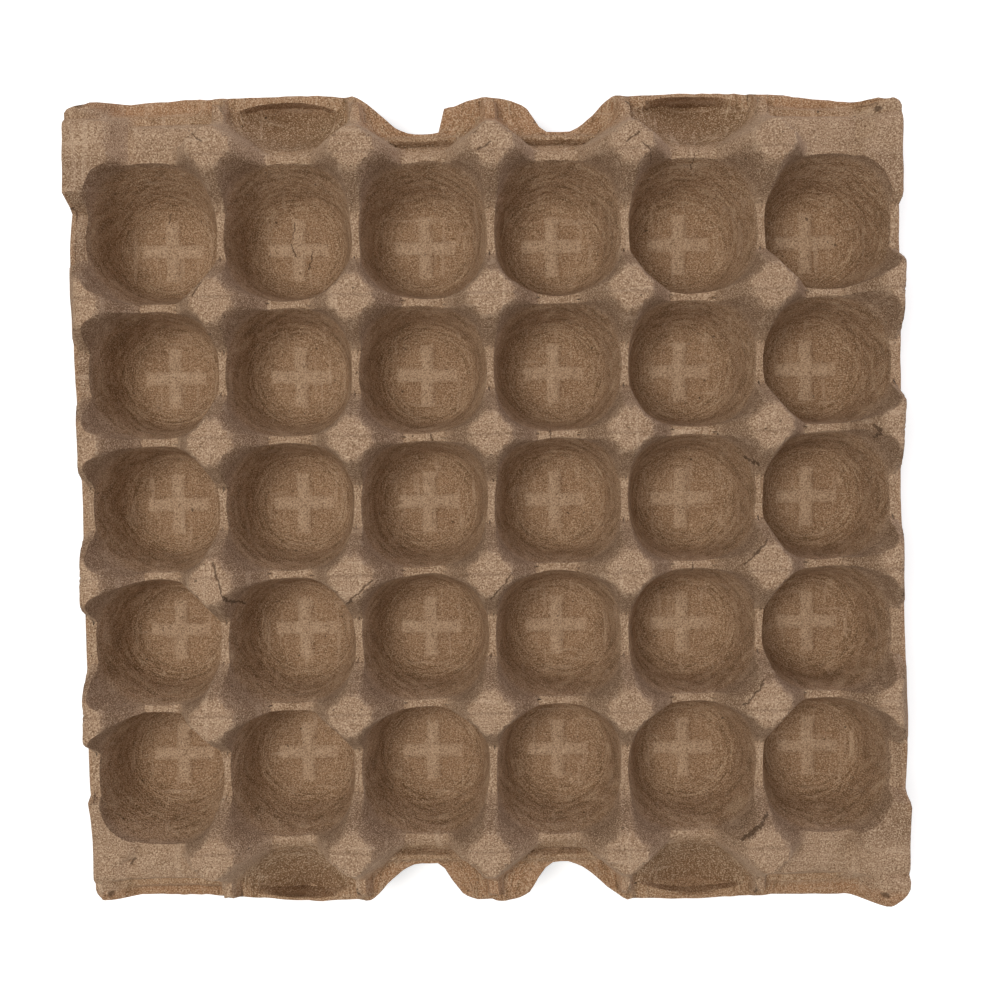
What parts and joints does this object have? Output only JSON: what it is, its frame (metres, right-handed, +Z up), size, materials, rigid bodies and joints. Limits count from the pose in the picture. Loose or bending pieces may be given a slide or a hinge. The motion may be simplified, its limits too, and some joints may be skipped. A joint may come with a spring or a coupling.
{
  "type": "egg tray",
  "caption": "Moulded pulp egg tray: a thin sheet of round cups in a square grid with diamond-topped peaks between them and a rim with finger bays.",
  "frame": {"origin": "middle of the tray, on the surface that the cups' flat bottoms stand on", "axes": "+X along the rows of cups, +Y towards one of the two sides with finger bays, +Z up"},
  "size_m": [0.295, 0.295, 0.047],
  "materials": {
    "pulp": "rough, unprinted grey-brown moulded pulp"
  },
  "bodies": {
    "root": {"tray": "pulp"}
  },
  "joints": []
}
